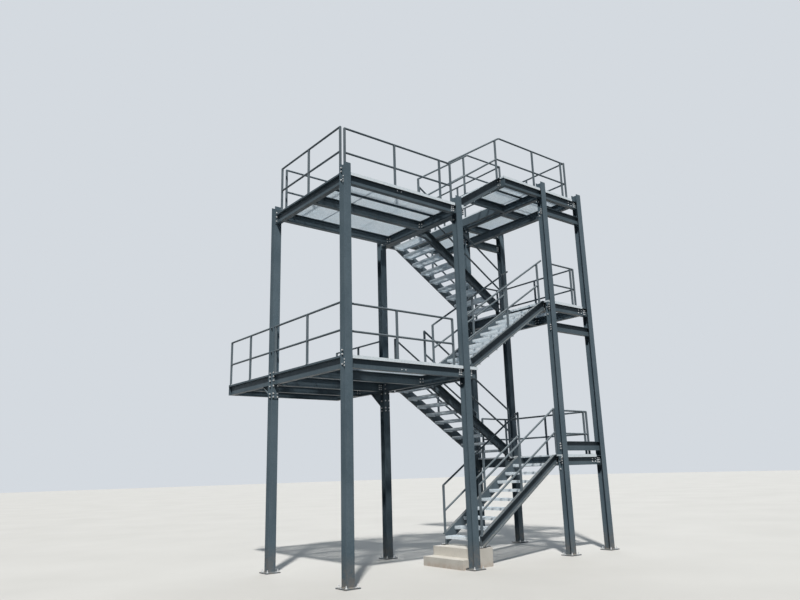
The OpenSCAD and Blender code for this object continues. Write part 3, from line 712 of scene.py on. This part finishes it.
def haunch(b, col, face, top, length, drop):
    """Tapered web and flange under a beam along Y where it meets its column."""
    x, y = COLUMNS[col]
    y0 = y + face*(COL_FACE + PLATE_T)
    zb = top - BEAM_H
    b.slot = 0
    b.prism([(0, 0), (face*length, 0), (0, -drop)],
            lambda u, v, w: (x + (w - 0.5)*HAUNCH_WEB, y0 + u, zb + v))
    slant, t = math.hypot(length, drop), HAUNCH_T
    ux, uz = -drop/slant, -length/slant
    b.prism([(0, -drop), (face*length, 0), (face*(length + ux*t), uz*t), (face*ux*t, -drop + uz*t)],
            lambda u, v, w: (x + (w - 0.5)*HAUNCH_B, y0 + u, zb + v))


def fin_x(b, col, side, top, sign=-1):
    """Fin plate beside the web of a beam along X; side is where the beam lies, sign the web's face."""
    x, y = COLUMNS[col]
    y0 = y + sign*WEB
    y1 = y0 + sign*FIN_T
    b.slot = 0
    b.box(x + side*COL_TW/2, x + side*FIN_L, y0, y1, top - BEAM_H + FIN_IN, top - FIN_IN)
    b.slot = 1
    for dx in FIN_COLS:
        for row in FIN_ROWS:
            b.bolt((x + side*dx, y1, top + row), (0, sign, 0), *M16_HEAD)
            b.bolt((x + side*dx, y - sign*WEB, top + row), (0, -sign, 0), *M16_NUT)


def cap_x(b, col, side, top):
    """End plate of a beam along X on the web of a column, with its nuts on the far side of the web."""
    x, y = COLUMNS[col]
    x1 = x + side*(COL_TW/2 + CAP_T)
    b.slot = 0
    b.box(x + side*COL_TW/2, x1, y - CAP_B/2, y + CAP_B/2, top - BEAM_H, top)
    b.slot = 1
    for dy in CAP_COLS:
        for row in CAP_ROWS:
            b.bolt((x - side*COL_TW/2, y + dy, top + row), (-side, 0, 0), *M18_NUT)
            b.bolt((x1, y + dy, top + row), (side, 0, 0), *M18_HEAD)


def angle_y(b, x, y, top, side, sign):
    """Angle cleat where a beam along X ends on the web of one along Y; side is where that beam lies."""
    x0, y0 = x + side*WEB, y + sign*WEB
    z0, z1 = top - BEAM_H + LEG_IN, top - LEG_IN
    b.slot = 0
    b.box(x0, x0 + side*LEG, y0, y0 + sign*LEG_T, z0, z1)
    b.box(x0, x0 + side*LEG_T, y0, y0 + sign*LEG, z0, z1)
    b.slot = 1
    for z in (z1 - LEG_IN, z0 + LEG_IN):
        b.bolt((x0 + side*LEG_BOLT_X, y0 + sign*LEG_T, z), (0, sign, 0), *M16_HEAD)
        b.bolt((x0 + side*LEG_T, y0 + sign*LEG_BOLT_Y, z), (side, 0, 0), *M16_HEAD)


def angle_x(b, x, y, top, sign):
    """Pair of angle cleats where a beam along Y ends on the web of one along X; sign is where it lies."""
    y0 = y + sign*WEB
    y1 = y0 + sign*LEG_T
    z0, z1 = top - BEAM_H + LEG_IN, top - LEG_IN
    for side in (-1, 1):
        x0 = x + side*WEB
        b.slot = 0
        b.box(x0, x0 + side*LEG, y0, y1, z0, z1)
        b.box(x0, x0 + side*LEG_T, y1, y0 + sign*LEG, z0, z1)
        b.slot = 1
        for z in (z0 + LEG_IN, z1 - LEG_IN):
            b.bolt((x + side*LEG_BOLT_X, y - sign*WEB, z), (0, -sign, 0), *M16_HEAD)
            b.bolt((x + side*LEG_BOLT_X, y1, z), (0, sign, 0), *M16_NUT)


def bracket(b, x, top, drop):
    """Plate on the front beam's web below a guard rail's post; drop is its top edge below the beam's top."""
    y1, z1 = -WEB - BRACKET_T, top - drop
    b.slot = 0
    b.box(x - BRACKET_B/2, x + BRACKET_B/2, y1, -WEB, z1 - BRACKET_H, z1)
    b.slot = 1
    for s in (-BRACKET_BOLT, BRACKET_BOLT):
        b.bolt((x + s, y1, z1 - BRACKET_H/2), (0, -1, 0), *M12_HEAD)


def angle_z(b, x, y, z0, z1, lap, side, sign):
    """Angle cleat behind a stringer's end. lap is the leg along X, side its way, and sign the way of the
    leg along Y."""
    b.slot = 0
    b.box(x, x + side*CLEAT_T, y, y + sign*CLEAT, z0, z1)
    b.box(x, x + side*lap, y, y + sign*CLEAT_T, z0, z1)
    b.slot = 1
    for z in (z0 + CLEAT_IN, z1 - CLEAT_IN):
        b.bolt((x + side*CLEAT_T, y + sign*CLEAT_BOLT, z), (side, 0, 0), *M12_HEAD)
        b.bolt((x + side*(lap - LAP_BOLT), y + sign*CLEAT_T, z), (0, sign, 0), *M12_HEAD)


BRACKETS = {2: (1275.0, 116.0), 4: (1290.0, 24.0)}      # their places along X and drops
X_END_BEAM = X_RIGHT - TIP
for i, z in ((1, Z_1), (2, Z_2), (3, Z_3), (4, Z_4), (5, Z_5)):
    b = Build()
    top = z - GRATE_T
    if i in (2, 4):
        plate_y(b, "a", 1, top, 150, 12, (120, 45, -132))
        plate_y(b, "b", 1, top, 0, 150, (-45, -151, -312))
        if i == 4:
            for col in ("e", "f"):
                plate_y(b, col, -1, top, 120, 12, (45, *TWO_ROWS))
        cap_x(b, "a", 1, top)
        fin_x(b, "b", -1, top)
        fin_x(b, "b", 1, top)
        fin_x(b, "f", 1, top)
        for y in [ROW/2] if i == 2 else [Y_BACK_4/2, Y_BACK_4]:
            for s in (-1, 1):
                angle_y(b, X_A, y, top, 1, s)
                angle_y(b, X_B, y, top, -1, s)
        x, drop = BRACKETS[i]
        bracket(b, x, top, drop)
    else:
        plate_y(b, "c", 1, top, 0, 115, (-110, -280))
        plate_y(b, "h", -1, top, 0, 115, (-110, -280))
        cap_x(b, "c", 1, top)
        fin_x(b, "d", -1, top)
        cap_x(b, "h", 1, top)
        fin_x(b, "g", -1, top)
        angle_x(b, X_END_BEAM, Y_F, top, 1)
        if i != 5:
            angle_x(b, X_END_BEAM, Y_R, top, -1)
        for s in (-1, 1):
            angle_y(b, X_C, ROW/2, top, 1, s)
            angle_y(b, X_END_BEAM, ROW/2, top, -1, s)
    if i == 2:
        haunch(b, "e", 1, top, 290, 215)
        haunch(b, "f", 1, top, 400, 340)
        fin_x(b, "e", 1, top)
        fin_x(b, "f", -1, top)
        for face in (-1, 1):
            plate_y(b, "e", face, top, 80, 285, BACK_ROWS)
            plate_y(b, "f", face, top, 80, 465, LOW_ROWS)
        for s in (-1, 1):
            angle_y(b, X_A, Y_R + REACH/2, top, 1, s)
            angle_y(b, X_B, Y_R + REACH/2, top, -1, s)
    if i == 5:
        b.slot = 0
        b.box(X_TOP + OVER - CLOSER_T, X_TOP + OVER, -TIP, COL_FACE, top - BEAM_H, top)
    b.piece("joints_deck_%d" % i, [PAINT_BEAM_SHADE, ZINC_BOLT])

b = Build()
for top in TIE_TOPS:
    cap_x(b, "c", 1, top)
    cap_x(b, "d", -1, top)
cap_x(b, "h", 1, Z_TIE)
fin_x(b, "g", -1, Z_TIE)
plate_y(b, "c", 1, TIE_Y_TOP, 0, 12)
plate_y(b, "h", -1, TIE_Y_TOP, 0, 12)
b.piece("joints_ties", [PAINT_BEAM_SHADE, ZINC_BOLT])

# Cleats at the feet and heads of the stringers, in their flights' own millimetres: a foot's place along X,
# its lower and upper end and its leg along X, and a head's place along X. Flights 1 and 3 end in plates at
# the landings, and flight 1 stands on foot plates
HEAD_LOW, HEAD_HIGH = 186, 14           # the heads' ends below the deck's beam top
END_1, END_2, END_BOLT = 20, 112, 50    # end plates and their bolts past the last nosing
END_ROWS = (-150, -50)                  # those bolts' heights from the deck's beam top
SOLE_1, SOLE_2, SOLE_B, SOLE_T = -60, 90, 67, 10        # foot plates of flight 1
SOLE_BOLTS, SOLE_BOLT_Y = (-35.0, 5.0), 42
ON_LANDING, ON_PLATFORM = (-112.0, -216.0, -44.0, 130.0), (-30.0, -200.0, -60.0, 90.0)
FEET = {2: ON_LANDING, 3: ON_PLATFORM, 4: ON_LANDING, 5: ON_PLATFORM}
HEADS = {2: RUN + 30, 4: RUN + 185, 5: RUN_5 + 30}
b = Build()
for i, (place, risers) in FLIGHTS.items():
    b.lane = place
    run = (risers - 1)*GOING
    deck = risers*RISE - GRATE_T
    z0, z1 = deck - HEAD_LOW, deck - HEAD_HIGH
    for y, sign in STRINGER_SIDES:
        if i in FEET:
            x, low, high, lap = FEET[i]
            angle_z(b, x, y, low, high, lap, 1, sign)
        if i in HEADS:
            angle_z(b, HEADS[i], y, z0, z1, CLEAT, -1, sign)
        else:
            b.slot = 0
            b.box(run + END_1, run + END_2, y, y + sign*CLEAT_T, z0, z1)
            b.slot = 1
            for row in END_ROWS:
                b.bolt((run + END_BOLT, y + sign*CLEAT_T, deck + row), (0, sign, 0), *M12_HEAD)
        if i == 1:
            b.slot = 0
            b.box(SOLE_1, SOLE_2, y - sign*STR_TW, y + sign*SOLE_B, 0, SOLE_T)
            b.slot = 1
            for x in SOLE_BOLTS:
                b.bolt((x, y + sign*SOLE_BOLT_Y, SOLE_T), UP, *M12_ANCHOR)
b.piece("stringer_cleats", [PAINT_STRINGER_SHADE, ZINC_BOLT])

# Strips along the open edges of the decks: zinc ones in front, and on the left dark sheets of beam paint as
# painted shade over the gratings' edges
FRONT_STRIPS = [(x0, x1, z) for z, x_end in ((Z_2, X_FOOT), (Z_4, X_TOP_FOOT))
                for x0, x1 in ((X_A + COL_GAP, X_B - COL_GAP), (X_B + COL_GAP, x_end))]
FRONT_STRIPS += [(x0, x1, z) for z, x_start in ((Z_1, X_EDGE), (Z_3, X_EDGE), (Z_5, X_TOP))
                 for x0, x1 in ((x_start, X_C - COL_GAP), (X_C + COL_GAP, X_RIGHT))]
LEFT_SHADE_STRIPS = ((COL_GAP, ROW - COL_GAP, Z_2), (ROW + COL_GAP, Y_WALL, Z_2), (COL_GAP, Y_BACK_4 + TIP, Z_4))
b = Build()
for x0, x1, z in FRONT_STRIPS:
    b.box(x0, x1, -TIP - STRIP_T, -TIP, z - STRIP_H, z)
# The left strips are dark beam paint: painted shade
b.slot = 1
for y0, y1, z in LEFT_SHADE_STRIPS:
    b.box(-TIP - STRIP_T, -TIP, y0, y1, z - SHADE_STRIP_H, z)
b.piece("deck_edge_strips_and_painted_shade", [ZINC_SKY_TINTED, PAINT_BEAM_SHADE])

# Slim T sections under the gratings between the beams
BEARERS = [(X_A + TIP, X_B - TIP, 715.0, Z_4), (X_TOP + 80, X_C - TIP, 572.0, Z_5),
           (X_C + TIP, X_END_BEAM - TIP, 572.0, Z_5)]
BEARERS += [(X_A + TIP, X_B - TIP, y0 + k*depth/6, Z_2)
            for y0, depth in ((Y_F, ROW), (Y_R, REACH)) for k in (1, 2, 4, 5)]
b = Build()
for x0, x1, y, z in BEARERS:
    z1 = z - GRATE_T
    b.box(x0, x1, y - BEARER_WEB/2, y + BEARER_WEB/2, z1 - BEARER_H, z1)
    b.box(x0, x1, y - BEARER_B/2, y + BEARER_B/2, z1 - BEARER_T, z1)
b.piece("grating_bearers", [PAINT_BEAM_SHADE])

# Stage, light and camera
link_object = bpy.context.scene.collection.objects.link
SHOWN_TO = ("Is Camera Ray", "Is Glossy Ray", "Is Transmission Ray")

# The floor shows pale to the camera and in reflections, and throws less light up at the stair
bpy.ops.mesh.primitive_plane_add(size=300)
floor = bpy.context.object
floor.name = "floor"
n = Nodes("floor_plain")
pale = n.mix(n.ramp(n.noise(0.35, 3.0), 0.3, 0.7), (0.52, 0.515, 0.50), (0.56, 0.555, 0.54))
rays = n.node("LightPath").outputs
camera, glossy, through = (rays[ray] for ray in SHOWN_TO)
direct = n.math("MAXIMUM", n.math("MAXIMUM", camera, glossy), through)
floor.data.materials.append(n.finish(n.mix(direct, (0.09, 0.088, 0.085), pale), None, Roughness=0.95))


def sun(name, energy, degrees, colour, direction):
    """Lamp far away; degrees is how wide it looks, direction is where its light goes."""
    lamp = bpy.data.lights.new(name, "SUN")
    lamp.energy, lamp.angle, lamp.color = energy, math.radians(degrees), colour
    ob = bpy.data.objects.new(name, lamp)
    ob.rotation_euler = Vector(direction).to_track_quat("-Z", "Y").to_euler()
    link_object(ob)


SUN_HEIGHT = math.radians(52.6)
flat = math.cos(SUN_HEIGHT)
sun("key", 4.4, 3, (1.0, 0.97, 0.92), (0.65*flat, 0.76*flat, -math.sin(SUN_HEIGHT)))
sun("back", 1.1, 50, (0.86, 0.93, 1.0), (-0.62, -0.50, -0.45))

# The world lights the stair with a weak blue, and shows a pale grey
world = bpy.data.worlds.new("studio")
bpy.context.scene.world = world
world.use_nodes = True
t = world.node_tree
t.nodes.clear()
mixer = t.nodes.new("ShaderNodeMixShader")
for k, (colour, strength) in enumerate((((0.52, 0.78, 1.0, 1), 0.10), ((0.66, 0.70, 0.745, 1), 1.0))):
    ground = t.nodes.new("ShaderNodeBackground")
    ground.inputs[0].default_value = colour
    ground.inputs[1].default_value = strength
    t.links.new(ground.outputs[0], mixer.inputs[1 + k])
path = t.nodes.new("ShaderNodeLightPath")
seen_by = path.outputs[SHOWN_TO[0]]
for ray in SHOWN_TO[1:]:
    most = t.nodes.new("ShaderNodeMath")
    most.operation = "MAXIMUM"
    t.links.new(seen_by, most.inputs[0])
    t.links.new(path.outputs[ray], most.inputs[1])
    seen_by = most.outputs[0]
t.links.new(seen_by, mixer.inputs[0])
t.links.new(mixer.outputs[0], t.nodes.new("ShaderNodeOutputWorld").inputs[0])

# The photograph's view, fitted to the columns: the camera's angles, its place in metres, and its focal
# length in pixels of a picture of this width
YAW, PITCH, ROLL = math.radians(38.49), math.radians(14.27), math.radians(-1.60)
EYE = Vector((-10.148, -12.171, 1.808))
FOCAL, WIDTH = 678.4, 800
ahead = Vector((math.sin(YAW)*math.cos(PITCH), math.cos(YAW)*math.cos(PITCH), math.sin(PITCH)))
level = Vector((math.cos(YAW), -math.sin(YAW), 0.0))
above = level.cross(ahead)
right = level*math.cos(ROLL) + above*math.sin(ROLL)
up = above*math.cos(ROLL) - level*math.sin(ROLL)
cam = bpy.data.cameras.new("camera")
cam.sensor_width = 36.0
cam.lens = cam.sensor_width*FOCAL/WIDTH
cam.clip_end = 500
cam_ob = bpy.data.objects.new("camera", cam)
cam_ob.matrix_world = Matrix((*((right[k], up[k], -ahead[k], EYE[k]) for k in range(3)), (0, 0, 0, 1)))
link_object(cam_ob)
bpy.context.scene.camera = cam_ob
bpy.context.scene.view_settings.view_transform = "Standard"
